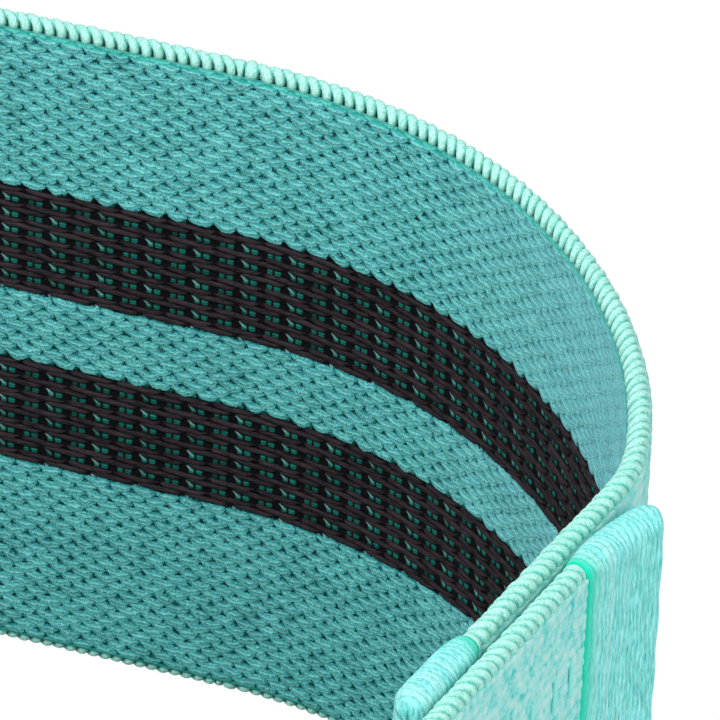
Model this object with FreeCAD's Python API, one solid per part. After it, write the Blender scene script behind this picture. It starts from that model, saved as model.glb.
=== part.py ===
import FreeCAD, Part
import math
import os

from FreeCAD import Vector

# A woven fabric resistance band for hips and thighs: one elastic webbing strip, 84 mm wide, wound
# once round into a standing loop whose two ends lap over each other and are sewn together.
# The webbing is a double cloth: an inner and an outer face cloth with square rubber warp threads
# between them, a round corded selvage along each edge, and two stripes of raised grip cords on
# the inner face. Each cut end is closed by a sleeve of dense overcast stitches, and rows of
# lockstitch go through both plies of the lap.
#
# Frame: +Z up, the loop stands on its lower selvage at Z = 0. +X points to the end that holds
# the lap, along the direction in which the loop stretches. The origin is the centre of the
# bounding box, on the ground. All sizes are in millimetres.
#
# The strip follows one plan path of straight runs and tangent arcs, which starts at the hidden
# inner end of the lap and turns left all the way. A point of the strip is (s, t, z): s along the
# path, t outwards from the inner face, z up. The path itself is the line t = 0, on the inner face.

# ---- Driving dimensions: the webbing's section ---------------------------------------------
BAND_WIDTH = 84.0           # edge to edge, which is the height of the standing loop
FACE_CLOTH = 0.85           # thickness of the inner and of the outer face cloth
RUBBER_THREAD = 0.9         # side of a square cut rubber thread, and the gap it fills
RUBBER_COUNT = 25
SELVAGE_WIDTH = 2.8         # selvage across the thickness of the webbing
SELVAGE_HEIGHT = 2.6        # selvage along Z
SELVAGE_FLAT = 1.0          # flat worn on the crown of the selvage, on which the loop stands
FILLER_CORD = 1.2           # diameter of the cord that the selvage yarn is wrapped round

# ---- Driving dimensions: the grip stripes --------------------------------------------------
GRIP_MARGIN = 21.4          # the band's upper edge to the upper stripe; the lower margin is wider
GRIP_STRIPE = 14.3          # width of a stripe
GRIP_GAP = 8.6              # cloth between the two stripes
GRIP_ROWS = 7               # rows of grip cords in a stripe, two cords side by side in each
GRIP_CORD = 0.62            # width of one grip cord
GRIP_PROUD = 0.36           # how far a cord stands out of the inner face
GRIP_SPLIT = 0.04           # gap between the two cords of a row

# ---- Driving dimensions: the plan path -----------------------------------------------------
LAP_HEADING = 81.0          # degrees from +X of the straight lap, seen from above
LAP_RUN = 43.5              # straight inner ply of the lap
LAP_GAP = 0.7               # air between the plies, which the grip cords and overcast share
LAP_LEAD = 2.0              # the outer ply runs straight this far before it meets the inner end
KINK_A = (22.0, 23.0)       # radius and turn in degrees, where the stiff lap ends
CORNER_A = (74.0, 37.0)     # the corner is slack next to the lap
BEND_A = (57.0, 39.0)       # and rounder next to the wall
FAR_WALL = (138.0, 5.0)     # length and turn
FREE_END_TURN = 163.0       # its radius follows from closing the loop
NEAR_WALL_TURN = 12.0       # its length follows from closing the loop
CORNER_B = (63.0, 61.0)
KINK_B = (36.0, 20.0)
OUTER_RUN = 34.0            # straight outer ply of the lap
FLARE = (30.0, -21.0)       # the outer end stands off a little

# ---- Driving dimensions: sewing ------------------------------------------------------------
INNER_OVERCAST = 12.0       # length of the overcast sleeve on the inner end, along the strip
OUTER_OVERCAST = 14.0       # and on the outer end
OVERCAST_PROUD = 0.9        # its thickness over the face on the free side
OVERCAST_PRESSED = 0.25     # its thickness over the face that is pressed against the other ply
OVERCAST_CAP = 0.7          # its thickness over the cut end
SEAM_ROWS = (17.5, 21.0, 26.0, 29.5)    # lockstitch rows, measured down the lap from its upper end
SEAM_STITCH = 4.0           # stitch length
SEAM_THREAD = 0.5           # thread diameter
SEAM_MARGIN = 3.0           # cloth left free above and below each row
SEAM_CLEAR = 0.02           # the bars of thread lie this far off what is under them

WEBBING = 2 * FACE_CLOTH + RUBBER_THREAD
LAP_PITCH = WEBBING + LAP_GAP
CLOTH_BOTTOM = SELVAGE_HEIGHT
CLOTH_TOP = BAND_WIDTH - SELVAGE_HEIGHT


# ---- The plan path ---------------------------------------------------------------------------
def unit(heading):
    """Unit vector of a heading in degrees."""
    return Vector(math.cos(math.radians(heading)), math.sin(math.radians(heading)), 0)


def outward(heading):
    """Unit vector to the right of a heading, which points out of the loop."""
    return unit(heading - 90)


def arc_step(heading, turn):
    """Displacement along an arc of radius 1 that starts at heading and turns left by turn."""
    return outward(heading + turn) - outward(heading)


def arc_run(radius, turn):
    """A run of the path given as an arc of that radius."""
    return abs(math.radians(turn)) * radius, turn


def closed_path():
    """All runs as (name, length, turn), with the free end's radius and the near wall's length
    solved so that the outer ply comes to lie LAP_PITCH outside the inner one."""
    known = [
        ("kink_a", *arc_run(*KINK_A)),
        ("corner_a", *arc_run(*CORNER_A)),
        ("bend_a", *arc_run(*BEND_A)),
        ("far_wall", *FAR_WALL),
        ("free_end", None, FREE_END_TURN),
        ("near_wall", None, NEAR_WALL_TURN),
        ("corner_b", *arc_run(*CORNER_B)),
        ("kink_b", *arc_run(*KINK_B)),
    ]
    heading = LAP_HEADING
    wanted = unit(heading) * -(LAP_RUN + LAP_LEAD) + outward(heading) * LAP_PITCH
    unknown = {}
    for name, length, turn in known:
        step = arc_step(heading, turn)
        if length is None:
            unknown[name] = step
        else:
            wanted -= step * (length / abs(math.radians(turn)))
        heading += turn
    a, b = unknown["free_end"], unknown["near_wall"]
    det = a.x * b.y - a.y * b.x
    solved = {
        "free_end": (wanted.x * b.y - wanted.y * b.x) / det,
        "near_wall": (a.x * wanted.y - a.y * wanted.x) / det,
    }
    runs = [("lap_inner", LAP_RUN, 0.0)]
    for name, length, turn in known:
        radius = solved.get(name)
        runs.append((name, length if radius is None else math.radians(turn) * radius, turn))
    runs.append(("lap_outer", OUTER_RUN, 0.0))
    runs.append(("flare", *arc_run(*FLARE)))
    return runs


RUNS = closed_path()
LENGTH = sum(run[1] for run in RUNS)


def station(name):
    """Distances along the path at which the named run starts and ends."""
    start = 0.0
    for run, length, _ in RUNS:
        if run == name:
            return start, start + length
        start += length
    raise KeyError(name)


def pieces_between(start, end):
    """The straight and arc pieces of the path from start to end, each as
    (point on the inner face, heading, length, turn)."""
    point, heading, here, found = Vector(0, 0, 0), LAP_HEADING, 0.0, []
    for _, length, turn in RUNS:
        low, high = max(start, here), min(end, here + length)
        if high - low > 1e-6:
            before = turn * (low - here) / length
            found.append((
                advance(point, heading, low - here, before),
                heading + before,
                high - low,
                turn * (high - low) / length,
            ))
        point = advance(point, heading, length, turn)
        heading += turn
        here += length
    return found


def advance(point, heading, length, turn):
    """The point reached from point along a run."""
    if abs(turn) < 1e-9:
        return point + unit(heading) * length
    radius = length / math.radians(turn)
    return point + arc_step(heading, turn) * radius


def frame_at(s):
    """Point on the inner face and heading at distance s along the path."""
    point, heading = Vector(0, 0, 0), LAP_HEADING
    for _, length, turn in RUNS:
        walked = min(s, length)
        point = advance(point, heading, walked, turn * walked / length)
        heading += turn * walked / length
        s -= walked
    return point, heading


# ---- Sections, drawn at a place on the path ---------------------------------------------------
def placed(point, heading):
    """Returns the function that turns (t, z) into a point in space."""
    out = outward(heading)
    return lambda t, z: Vector(point.x + out.x * t, point.y + out.y * t, z)


def face_of(edges):
    return Part.Face(Part.Wire(edges))


def rectangle(t0, t1, z0, z1):
    """A rectangular section."""
    def draw(at):
        corners = [at(t0, z0), at(t1, z0), at(t1, z1), at(t0, z1), at(t0, z0)]
        return Part.Face(Part.makePolygon(corners))
    return draw


def crowned_edges(at, width, z_flat, z_crown):
    """The crown of a selvage as edges from t = -side to t = WEBBING + side: a quarter-round
    shoulder on each side of a small flat at z_crown. z_flat is the height of its springing."""
    side = (width - WEBBING) / 2
    left, right = -side, WEBBING + side
    middle, rise, half = WEBBING / 2, z_crown - z_flat, SELVAGE_FLAT / 2
    diagonal = math.sqrt(0.5)
    reach = width / 2 - half
    shoulder_l = at(middle - half - reach * diagonal, z_flat + rise * diagonal)
    shoulder_r = at(middle + half + reach * diagonal, z_flat + rise * diagonal)
    crown_l, crown_r = at(middle - half, z_crown), at(middle + half, z_crown)
    return [
        Part.Arc(at(left, z_flat), shoulder_l, crown_l).toShape(),
        Part.LineSegment(crown_l, crown_r).toShape(),
        Part.Arc(crown_r, shoulder_r, at(right, z_flat)).toShape(),
    ]


def selvage_section(z_seat, z_crown):
    """The wrapped selvage: a block that sits on the cloth's edge, with a round crown, and a
    round hole for the filler cord."""
    def draw(at):
        z_flat = z_seat + (z_crown - z_seat) * (1 - SELVAGE_WIDTH / 2 / SELVAGE_HEIGHT)
        side = (SELVAGE_WIDTH - WEBBING) / 2
        low_l, low_r = at(-side, z_seat), at(WEBBING + side, z_seat)
        edges = [Part.LineSegment(low_l, at(-side, z_flat)).toShape()]
        edges += crowned_edges(at, SELVAGE_WIDTH, z_flat, z_crown)
        edges.append(Part.LineSegment(at(WEBBING + side, z_flat), low_r).toShape())
        edges.append(Part.LineSegment(low_r, low_l).toShape())
        return face_of(edges).cut(filler_section(z_seat, z_crown)(at)).Faces[0]
    return draw


def filler_section(z_seat, z_crown):
    """The round filler cord inside the selvage."""
    def draw(at):
        z = z_seat + (z_crown - z_seat) / 2
        across = at(1, z) - at(0, z)
        normal = across.cross(Vector(0, 0, 1))
        circle = Part.Circle(at(WEBBING / 2, z), normal, FILLER_CORD / 2)
        return face_of([circle.toShape()])
    return draw


def cord_section(z):
    """A grip cord laid on the inner face: a low round bead with a flat back."""
    def draw(at):
        half = GRIP_CORD / 2
        low, high = at(0, z - half), at(0, z + half)
        bead = Part.Arc(low, at(-GRIP_PROUD, z), high).toShape()
        return face_of([bead, Part.LineSegment(high, low).toShape()])
    return draw


def overcast_outline(free_side):
    """The outside of an overcast sleeve: both faces and the two crowned edges. It lies off the
    webbing's middle towards its free side, which is -1 inwards and 1 outwards."""
    width = WEBBING + OVERCAST_PROUD + OVERCAST_PRESSED
    shift = free_side * (OVERCAST_PROUD - OVERCAST_PRESSED) / 2
    left, right = (WEBBING - width) / 2, (WEBBING + width) / 2
    low, high = width / 2, BAND_WIDTH - width / 2

    def draw(at):
        def shifted(t, z):
            return at(t + shift, z)
        edges = crowned_edges(shifted, width, high, BAND_WIDTH)
        edges.append(Part.LineSegment(shifted(right, high), shifted(right, low)).toShape())
        edges += crowned_edges(shifted, width, low, 0.0)
        edges.append(Part.LineSegment(shifted(left, low), shifted(left, high)).toShape())
        return face_of(Part.__sortEdges__(edges))
    return draw


# ---- Solids swept along the path --------------------------------------------------------------
def swept(section, start, end):
    """One solid: the section carried along the path from start to end."""
    solids = []
    for point, heading, length, turn in pieces_between(start, end):
        face = section(placed(point, heading))
        if abs(turn) < 1e-9:
            solids.append(face.extrude(unit(heading) * length))
            continue
        radius = length / math.radians(turn)
        centre = point - outward(heading) * radius
        solids.append(face.revolve(centre, Vector(0, 0, 1), turn))
    whole = solids[0] if len(solids) == 1 else solids[0].fuse(solids[1:]).removeSplitter()
    return whole.Solids[0]


def rubber_threads(start, end):
    pitch = (CLOTH_TOP - CLOTH_BOTTOM) / RUBBER_COUNT
    t0, t1 = FACE_CLOTH, FACE_CLOTH + RUBBER_THREAD
    threads = []
    for k in range(RUBBER_COUNT):
        z = CLOTH_BOTTOM + (k + 0.5) * pitch
        section = rectangle(t0, t1, z - RUBBER_THREAD / 2, z + RUBBER_THREAD / 2)
        threads.append(swept(section, start, end))
    return threads


def grip_cords(z_low, start, end):
    """The cords of one stripe, in pairs that touch nothing but the cloth."""
    pitch = GRIP_STRIPE / GRIP_ROWS
    spread = (GRIP_CORD + GRIP_SPLIT) / 2
    cords = []
    for row in range(GRIP_ROWS):
        z = z_low + (row + 0.5) * pitch
        cords.append(swept(cord_section(z - spread), start, end))
        cords.append(swept(cord_section(z + spread), start, end))
    return cords


def filler_cords(start, end):
    return [
        swept(filler_section(CLOTH_TOP, BAND_WIDTH), start, end),
        swept(filler_section(CLOTH_BOTTOM, 0.0), start, end),
    ]


def overcast_sleeve(start, end, cap_at_start):
    """Dense stitches over a cut end: a sleeve round the strip, closed over the end."""
    cloth = rectangle(0, WEBBING, CLOTH_BOTTOM, CLOTH_TOP)
    outline = overcast_outline(-1 if cap_at_start else 1)
    sleeve = swept(outline, start, end).cut(swept(cloth, start, end))
    point, heading = frame_at(start if cap_at_start else end)
    away = unit(heading) * (-OVERCAST_CAP if cap_at_start else OVERCAST_CAP)
    cap = outline(placed(point, heading)).extrude(away)
    return sleeve.fuse(cap).removeSplitter().Solids[0]


def seam_row(distance):
    """One lockstitch row up the lap: a thread through both plies at each stitch, and a bar of
    thread on the inner face, then on the outer face, in turn."""
    point, heading = frame_at(station("lap_inner")[1] - distance)
    at, out = placed(point, heading), outward(heading)
    radius = SEAM_THREAD / 2
    inner = -(GRIP_PROUD + SEAM_CLEAR + radius)
    outer = LAP_PITCH + WEBBING + SEAM_CLEAR + radius
    count = int((CLOTH_TOP - CLOTH_BOTTOM - 2 * SEAM_MARGIN) / SEAM_STITCH)
    first = BAND_WIDTH / 2 - count * SEAM_STITCH / 2
    parts = []
    for k in range(count + 1):
        z = first + k * SEAM_STITCH
        parts.append(Part.makeCylinder(radius, outer - inner, at(inner, z), out))
        parts += [Part.makeSphere(radius, at(t, z)) for t in (inner, outer)]
        if k < count:
            side = inner if k % 2 else outer
            parts.append(Part.makeCylinder(radius, SEAM_STITCH, at(side, z), Vector(0, 0, 1)))
    return parts[0].fuse(parts[1:]).Solids[0]


# ---- The nodes ----------------------------------------------------------------------------------
def strip_stretches():
    """The stretches that the continuous strip is divided into, because its long walls stretch
    and its two ends move apart: name -> (start, end)."""
    far, free, near = station("far_wall"), station("free_end"), station("near_wall")
    return {
        "inner_tail": (0.0, far[0]),
        "far_wall": far,
        "free_end": free,
        "near_wall": near,
        "outer_tail": (near[1], LENGTH),
    }


def build():
    """All nodes as name -> list of solids, before they are centred."""
    nodes = {}
    upper_grip = BAND_WIDTH - GRIP_MARGIN - GRIP_STRIPE
    lower_grip = upper_grip - GRIP_GAP - GRIP_STRIPE
    for name, (start, end) in strip_stretches().items():
        # The selvages and the grip cords stop where a cut end's overcast sleeve starts.
        open_start = start + INNER_OVERCAST if name == "inner_tail" else start
        open_end = end - OUTER_OVERCAST if name == "outer_tail" else end
        inner = rectangle(0, FACE_CLOTH, CLOTH_BOTTOM, CLOTH_TOP)
        outer = rectangle(WEBBING - FACE_CLOTH, WEBBING, CLOTH_BOTTOM, CLOTH_TOP)
        upper = selvage_section(CLOTH_TOP, BAND_WIDTH)
        lower = selvage_section(CLOTH_BOTTOM, 0.0)
        nodes[f"inner_face_cloth_{name}"] = [swept(inner, start, end)]
        nodes[f"outer_face_cloth_{name}"] = [swept(outer, start, end)]
        nodes[f"rubber_threads_{name}"] = rubber_threads(start, end)
        nodes[f"upper_selvage_{name}"] = [swept(upper, open_start, open_end)]
        nodes[f"lower_selvage_{name}"] = [swept(lower, open_start, open_end)]
        nodes[f"selvage_filler_cords_{name}"] = filler_cords(open_start, open_end)
        nodes[f"upper_grip_cords_{name}"] = grip_cords(upper_grip, open_start, open_end)
        nodes[f"lower_grip_cords_{name}"] = grip_cords(lower_grip, open_start, open_end)
    nodes["inner_end_overcast"] = [overcast_sleeve(0.0, INNER_OVERCAST, True)]
    nodes["outer_end_overcast"] = [overcast_sleeve(LENGTH - OUTER_OVERCAST, LENGTH, False)]
    nodes["lap_seam_threads"] = [seam_row(distance) for distance in SEAM_ROWS]
    return nodes


def centre(nodes):
    """Moves every solid so that the bounding box is centred over the origin in plan, and
    returns the move. The selvages and the overcast ends reach farthest out."""
    rims = [name for name in nodes if "upper_selvage" in name or "overcast" in name]
    envelope = Part.Compound([solid for name in rims for solid in nodes[name]])
    box = envelope.optimalBoundingBox(False, False)
    move = Vector(-box.Center.x, -box.Center.y, 0)
    for solids in nodes.values():
        for solid in solids:
            solid.translate(move)
    return move


def main():
    nodes = build()
    move = centre(nodes)
    os.makedirs("parts", exist_ok=True)
    for name, solids in nodes.items():
        shape = solids[0] if len(solids) == 1 else Part.Compound(solids)
        assert shape.isValid(), name
        shape.exportStep(f"parts/{name}.step")
    print(f"{len(nodes)} nodes, strip {LENGTH:.1f} mm long, plan origin {-move.x:.2f}, {-move.y:.2f}")


if __name__ == "__main__":
    main()
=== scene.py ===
# %% [markdown]
# # A woven resistance band
# The band is one strip of elastic webbing wound round once, with its ends lapped and sewn. This
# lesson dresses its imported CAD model. The CAD pieces are plain sheets and rods, so that a physics
# engine can use them. Here each one is replaced by the yarns that a hand would feel: hanging teal
# floats inside, black grip cords, a corded mint edge and dense stitches over the two cut ends.
# Everything is in metres in the CAD model's own frame, but yarn sizes are named in millimetres.

# %% Load the frame
import math

import bpy
import numpy as np
from mathutils import Matrix, Vector


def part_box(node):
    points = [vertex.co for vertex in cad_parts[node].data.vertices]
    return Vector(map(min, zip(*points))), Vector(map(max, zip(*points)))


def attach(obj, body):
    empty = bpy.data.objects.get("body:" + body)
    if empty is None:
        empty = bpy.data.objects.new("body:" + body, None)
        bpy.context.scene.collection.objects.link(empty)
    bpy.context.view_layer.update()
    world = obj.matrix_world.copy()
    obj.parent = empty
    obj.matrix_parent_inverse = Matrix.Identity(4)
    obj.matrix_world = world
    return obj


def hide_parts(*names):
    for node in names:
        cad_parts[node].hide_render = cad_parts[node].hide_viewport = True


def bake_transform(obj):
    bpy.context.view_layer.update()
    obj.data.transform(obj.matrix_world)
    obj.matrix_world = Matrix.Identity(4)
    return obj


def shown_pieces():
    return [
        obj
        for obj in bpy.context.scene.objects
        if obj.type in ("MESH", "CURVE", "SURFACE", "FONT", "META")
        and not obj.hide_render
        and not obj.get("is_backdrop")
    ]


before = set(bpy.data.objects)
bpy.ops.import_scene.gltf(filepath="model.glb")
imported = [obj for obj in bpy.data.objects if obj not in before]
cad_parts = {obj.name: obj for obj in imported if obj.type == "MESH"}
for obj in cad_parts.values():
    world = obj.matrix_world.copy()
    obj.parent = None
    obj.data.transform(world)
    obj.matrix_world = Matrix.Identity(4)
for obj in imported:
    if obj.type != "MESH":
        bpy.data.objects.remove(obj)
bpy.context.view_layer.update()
MM = 0.001

# %% [markdown]
# ## The camera
# The band is seen from above its near side, close up, through a long lens. A long lens keeps
# upright yarns nearly parallel. The camera is placed by five things that are easy to picture: how
# far round it stands, how high, how far off, how much it leans, and what it looks at.

# %% Place the camera
LOOK_AT = Vector((77.5, 83.2, 44.0)) * MM
AZIMUTH, ELEVATION, LEAN = (math.radians(angle) for angle in (18.2, 33.5, 2.55))
DISTANCE = 1.0
LENS = 445.8

forward = Vector((-math.sin(AZIMUTH) * math.cos(ELEVATION),
                  math.cos(AZIMUTH) * math.cos(ELEVATION), -math.sin(ELEVATION)))
level = Vector((math.cos(AZIMUTH), math.sin(AZIMUTH), 0))
over = level.cross(forward)
right = level * math.cos(LEAN) + over * math.sin(LEAN)
up = over * math.cos(LEAN) - level * math.sin(LEAN)
camera = bpy.data.objects.new("camera", bpy.data.cameras.new("camera"))
camera.data.lens = LENS
camera.data.clip_start, camera.data.clip_end = 0.05, 20
turned = Matrix((right, up, -forward)).transposed().to_4x4()
camera.matrix_world = Matrix.Translation(LOOK_AT - forward * DISTANCE) @ turned
bpy.context.scene.collection.objects.link(camera)
bpy.context.scene.camera = camera
print("camera at", [round(v, 3) for v in camera.matrix_world.translation])

# %% [markdown]
# ## The strip's path
# Seen from above, the strip follows straight runs and arcs that meet smoothly. It starts at the
# hidden inner end of the lap and turns left until it has come round and lies over its own start.
# With the path as one function of the distance along it, every yarn can be placed by three
# numbers: s along the strip, t through it from the inner face outwards, and z up.

# %% The runs of the plan
WEBBING, FACE_CLOTH = 2.6, 0.85
LAP_PITCH = WEBBING + 0.7
LAP_HEADING, LAP_RUN, LAP_LEAD = 81.0, 43.5, 2.0
OPEN_RUNS = [("kink_a", 22.0, 23.0), ("corner_a", 74.0, 37.0), ("bend_a", 57.0, 39.0),
             ("far_wall", 138.0, 5.0), ("free_end", None, 163.0), ("near_wall", None, 12.0),
             ("corner_b", 63.0, 61.0), ("kink_b", 36.0, 20.0)]
LAST_RUNS = [("lap_outer", 34.0, 0.0), ("flare", 30.0, -21.0)]


def heading_of(angle):
    """The unit vector of an angle in degrees."""
    return np.array([math.cos(math.radians(angle)), math.sin(math.radians(angle))])


def close_the_loop():
    """Each run as (name, length, turn in degrees). An open run's size is its radius, except the
    far wall's, which is its length. An arc of radius r that turns from heading a to heading b
    moves by r times the difference of the two right-hand normals. The free end's and the near
    wall's radius are the unknowns that bring the strip back to its start, one ply further out."""
    angle = LAP_HEADING
    wanted = -heading_of(angle) * (LAP_RUN + LAP_LEAD) + heading_of(angle - 90) * LAP_PITCH
    unknown, runs = [], [["lap_inner", LAP_RUN, 0.0]]
    for name, size, turn in OPEN_RUNS:
        step = heading_of(angle + turn - 90) - heading_of(angle - 90)
        radius = size if name != "far_wall" else size / math.radians(turn)
        if size is None:
            unknown.append(step)
        else:
            wanted = wanted - step * radius
        runs.append([name, None if size is None else radius * math.radians(turn), turn])
        angle += turn
    solved = iter(np.linalg.solve(np.array(unknown).T, wanted))
    for run in runs:
        if run[1] is None:
            run[1] = next(solved) * math.radians(run[2])
    runs += [[LAST_RUNS[0][0], LAST_RUNS[0][1], 0.0]]
    runs += [["flare", LAST_RUNS[1][1] * math.radians(-LAST_RUNS[1][2]), LAST_RUNS[1][2]]]
    return runs


# %% Lengths, turns and headings
RUNS = close_the_loop()
RUN_LENGTH = np.array([run[1] for run in RUNS])
RUN_TURN = np.radians([run[2] for run in RUNS])
RUN_START = np.concatenate([[0.0], np.cumsum(RUN_LENGTH)[:-1]])
RUN_HEADING = math.radians(LAP_HEADING) + np.concatenate([[0.0], np.cumsum(RUN_TURN)[:-1]])
BEND = RUN_TURN / RUN_LENGTH
LENGTH = float(RUN_LENGTH.sum())
print({run[0]: round(run[1], 1) for run in RUNS})


# %% A point of the strip from its three numbers
def walk(start_heading, bend, distance):
    """How far a point moves along one run: on a straight run distance times the heading, on an
    arc the difference of the normals over the bend."""
    safe = np.where(np.abs(bend) < 1e-9, 1.0, bend)
    end = start_heading + bend * distance
    arc_x = (np.sin(end) - np.sin(start_heading)) / safe
    arc_y = (np.cos(start_heading) - np.cos(end)) / safe
    straight = np.abs(bend) < 1e-9
    return (np.where(straight, distance * np.cos(start_heading), arc_x),
            np.where(straight, distance * np.sin(start_heading), arc_y))


RUN_STEP = np.stack(walk(RUN_HEADING, BEND, RUN_LENGTH), -1)
RUN_POINT = np.concatenate([np.zeros((1, 2)), np.cumsum(RUN_STEP, 0)[:-1]])


def strip_point(s, t, z):
    """The point at distance s along the strip, t outwards from its inner face and z up, all in
    millimetres, for whole arrays at once. It is the run's own start, plus the walk along the
    run, plus t times the right-hand normal."""
    s, t, z = np.broadcast_arrays(s, t, z)
    run = np.clip(np.searchsorted(RUN_START, s, side="right") - 1, 0, len(RUNS) - 1)
    walked = s - RUN_START[run]
    x, y = walk(RUN_HEADING[run], BEND[run], walked)
    heading = RUN_HEADING[run] + BEND[run] * walked
    x = RUN_POINT[run, 0] + x + t * np.sin(heading) - ORIGIN[0]
    y = RUN_POINT[run, 1] + y - t * np.cos(heading) - ORIGIN[1]
    return np.stack([x, y, z], -1) * MM


# %% Where the path and its stretches lie
# The far wall's inner cloth is measured on this path and in the frame. The difference between
# the two says where the path's own zero lies.
ORIGIN = np.zeros(2)
RUN_NAMES = [run[0] for run in RUNS]
wall_run = RUN_NAMES.index("far_wall")
far_wall = RUN_START[wall_run] + RUN_LENGTH[wall_run] * np.linspace(0, 1, 200)
wall = strip_point(far_wall[:, None], np.array([0.0, FACE_CLOTH]), 0.0).reshape(-1, 3)
low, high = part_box("inner_face_cloth_far_wall")
ORIGIN = np.array([(wall[:, 0].max() - high.x) / MM, (wall[:, 1].min() - low.y) / MM])
STRETCHES = {"inner_tail": ("lap_inner", "bend_a"), "far_wall": ("far_wall", "far_wall"),
             "free_end": ("free_end", "free_end"), "near_wall": ("near_wall", "near_wall"),
             "outer_tail": ("corner_b", "flare")}
SPAN = {name: (float(RUN_START[RUN_NAMES.index(first)]),
               float(RUN_START[RUN_NAMES.index(last)] + RUN_LENGTH[RUN_NAMES.index(last)]))
        for name, (first, last) in STRETCHES.items()}
print("strip", round(LENGTH, 1), "mm, path origin", ORIGIN.round(2))
print({name: [round(v, 1) for v in span] for name, span in SPAN.items()})

# %% [markdown]
# ## Rings into meshes
# Nearly every piece here is a closed outline carried along the strip: a face cloth, a cord, a
# corded edge, a band of stitches. So one helper turns an array of rings into a closed mesh. The
# array's axes are: which piece, which ring along it, which point round the ring. Quads join
# neighbouring rings, and a cap closes each end. If the mesh has come out inside out, its volume
# is negative, and every face is turned over.

# %% Rings to a closed mesh
def swept_mesh(name, points, values):
    """points[piece, ring, round] are places in metres; values are arrays of the same shape, kept
    on the mesh as named attributes for the materials. The volume has the sign of the sum of
    a dot (b cross c) over the triangles."""
    pieces, rings, around, _ = points.shape
    flat = np.ascontiguousarray(points.reshape(-1, 3), np.float32)
    index = np.arange(len(flat)).reshape(pieces, rings, around)
    near, far = index[:, :-1], index[:, 1:]
    quads = np.stack([near, np.roll(near, -1, 2), np.roll(far, -1, 2), far], -1).reshape(-1, 4)
    caps = np.concatenate([index[:, 0, ::-1], index[:, -1]])
    a, b, c, d = (flat[quads[:, k]].astype(float) for k in range(4))
    volume = (np.einsum("ij,ij->", a, np.cross(b, c)) + np.einsum("ij,ij->", a, np.cross(c, d)))
    if volume < 0:
        quads, caps = quads[:, ::-1], caps[:, ::-1]
    mesh = bpy.data.meshes.new(name)
    mesh.vertices.add(len(flat))
    mesh.vertices.foreach_set("co", flat.ravel())
    loops = np.concatenate([quads.ravel(), caps.ravel()]).astype(np.int32)
    mesh.loops.add(len(loops))
    mesh.loops.foreach_set("vertex_index", loops)
    sizes = np.concatenate([np.full(len(quads), 4), np.full(len(caps), around)])
    mesh.polygons.add(len(sizes))
    starts = np.concatenate([[0], np.cumsum(sizes)[:-1]]).astype(np.int32)
    mesh.polygons.foreach_set("loop_start", starts)
    mesh.update(calc_edges=True)
    smooth = np.concatenate([np.ones(len(quads), bool), np.zeros(len(caps), bool)])
    mesh.polygons.foreach_set("use_smooth", smooth)
    for key, value in values.items():
        value = np.broadcast_to(value, points.shape[:3] + np.shape(value)[3:])
        kind = "FLOAT_VECTOR" if value.ndim == 4 else "FLOAT"
        layer = mesh.attributes.new(key, kind, "POINT")
        channel = "vector" if value.ndim == 4 else "value"
        layer.data.foreach_set(channel, np.ascontiguousarray(value, np.float32).ravel())
    mesh.validate()
    piece = bpy.data.objects.new(name, mesh)
    bpy.context.scene.collection.objects.link(piece)
    return piece


# %% A piece, its body and its random numbers
def seat(piece, stretch, node, material):
    """Gives a piece its finish and its body: a tail or the free end rides on its own body, and a
    long wall is baked into the frame where it stands, with no body."""
    piece.data.materials.append(material)
    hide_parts(node)
    if stretch in ("far_wall", "near_wall"):
        ends = [strip_point(s, WEBBING / 2, BAND / 2) for s in SPAN[stretch]]
        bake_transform(piece)
    else:
        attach(piece, "free_end" if stretch == "free_end" else "lap_end")
    print(f"{piece.name}: {len(piece.data.polygons)} faces on {stretch}")
    return piece


def chance(*numbers):
    """A repeatable random number from 0 to 1 for each set of whole numbers: the fraction of a
    large sine, so that no generator has to be seeded."""
    weights = (12.9898, 78.233, 37.719, 4.1414)
    total = sum(weight * np.asarray(n, float) for weight, n in zip(weights, numbers))
    return np.modf(np.abs(np.sin(total) * 43758.5453))[0]


# %% [markdown]
# ## The inner face: teal floats and black stripes
# The real cloth is a weave in which each teal yarn floats over its neighbours for a few
# millimetres, hangs a little, and dives under at both ends. The dives are the small dark pits.
# Floats in neighbouring rows are half a float apart, as bricks are. Yarn strands are finer than
# any sensible mesh, so the work is shared. The mesh has the swell of each float. It also carries
# two weave coordinates, floats along and rows up, from which the finish draws strands and pits.
# The coordinates are pushed about by slow waves, so that no two floats are quite alike.

# %% Weave coordinates
FLOAT, ROW = 2.84, 22.9 / 23
FLOAT_HANG, FLOAT_THICK, FLOAT_END, FLOAT_RISE = 0.42, 0.74, 0.42, 0.26
PIT_SLANT = 0.08
BAND, MARGIN, STRIPE, STRIPE_GAP = 84.0, 21.4, 14.3, 8.6
UPPER_STRIPE = BAND - MARGIN - STRIPE
LOWER_STRIPE = UPPER_STRIPE - STRIPE_GAP - STRIPE
# The cloth runs on a little way into the corded edges, which hides its own edge.
CLOTH_EDGE = 1.45
# Teal rows that the black stripes take the place of, as (middle row, half the count).
BLACK_ROWS = ((-7.5, 7.0), (15.5, 7.0))
ROW_ZERO = LOWER_STRIPE + STRIPE + 0.62
GROUND_DEPTH = 0.10
FLAT_UNTIL, SLACK_FROM = 50.0, 115.0
print("rows across the band:", round(BAND / ROW), "floats along it:", round(LENGTH / FLOAT))


def weave(s, z):
    """Floats along and rows up. Row 0 is the last teal row above the lower stripe."""
    push_s = 0.11 * np.sin(0.9 * s + 2.3 * z) + 0.09 * np.sin(2.1 * s - 1.7 * z + 1.0)
    push_z = 0.07 * np.sin(1.3 * s + 1.1 * z + 2.0) + 0.05 * np.sin(3.1 * s - 0.8 * z)
    return (s + push_s) / FLOAT, (z + push_z - ROW_ZERO) / ROW


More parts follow.
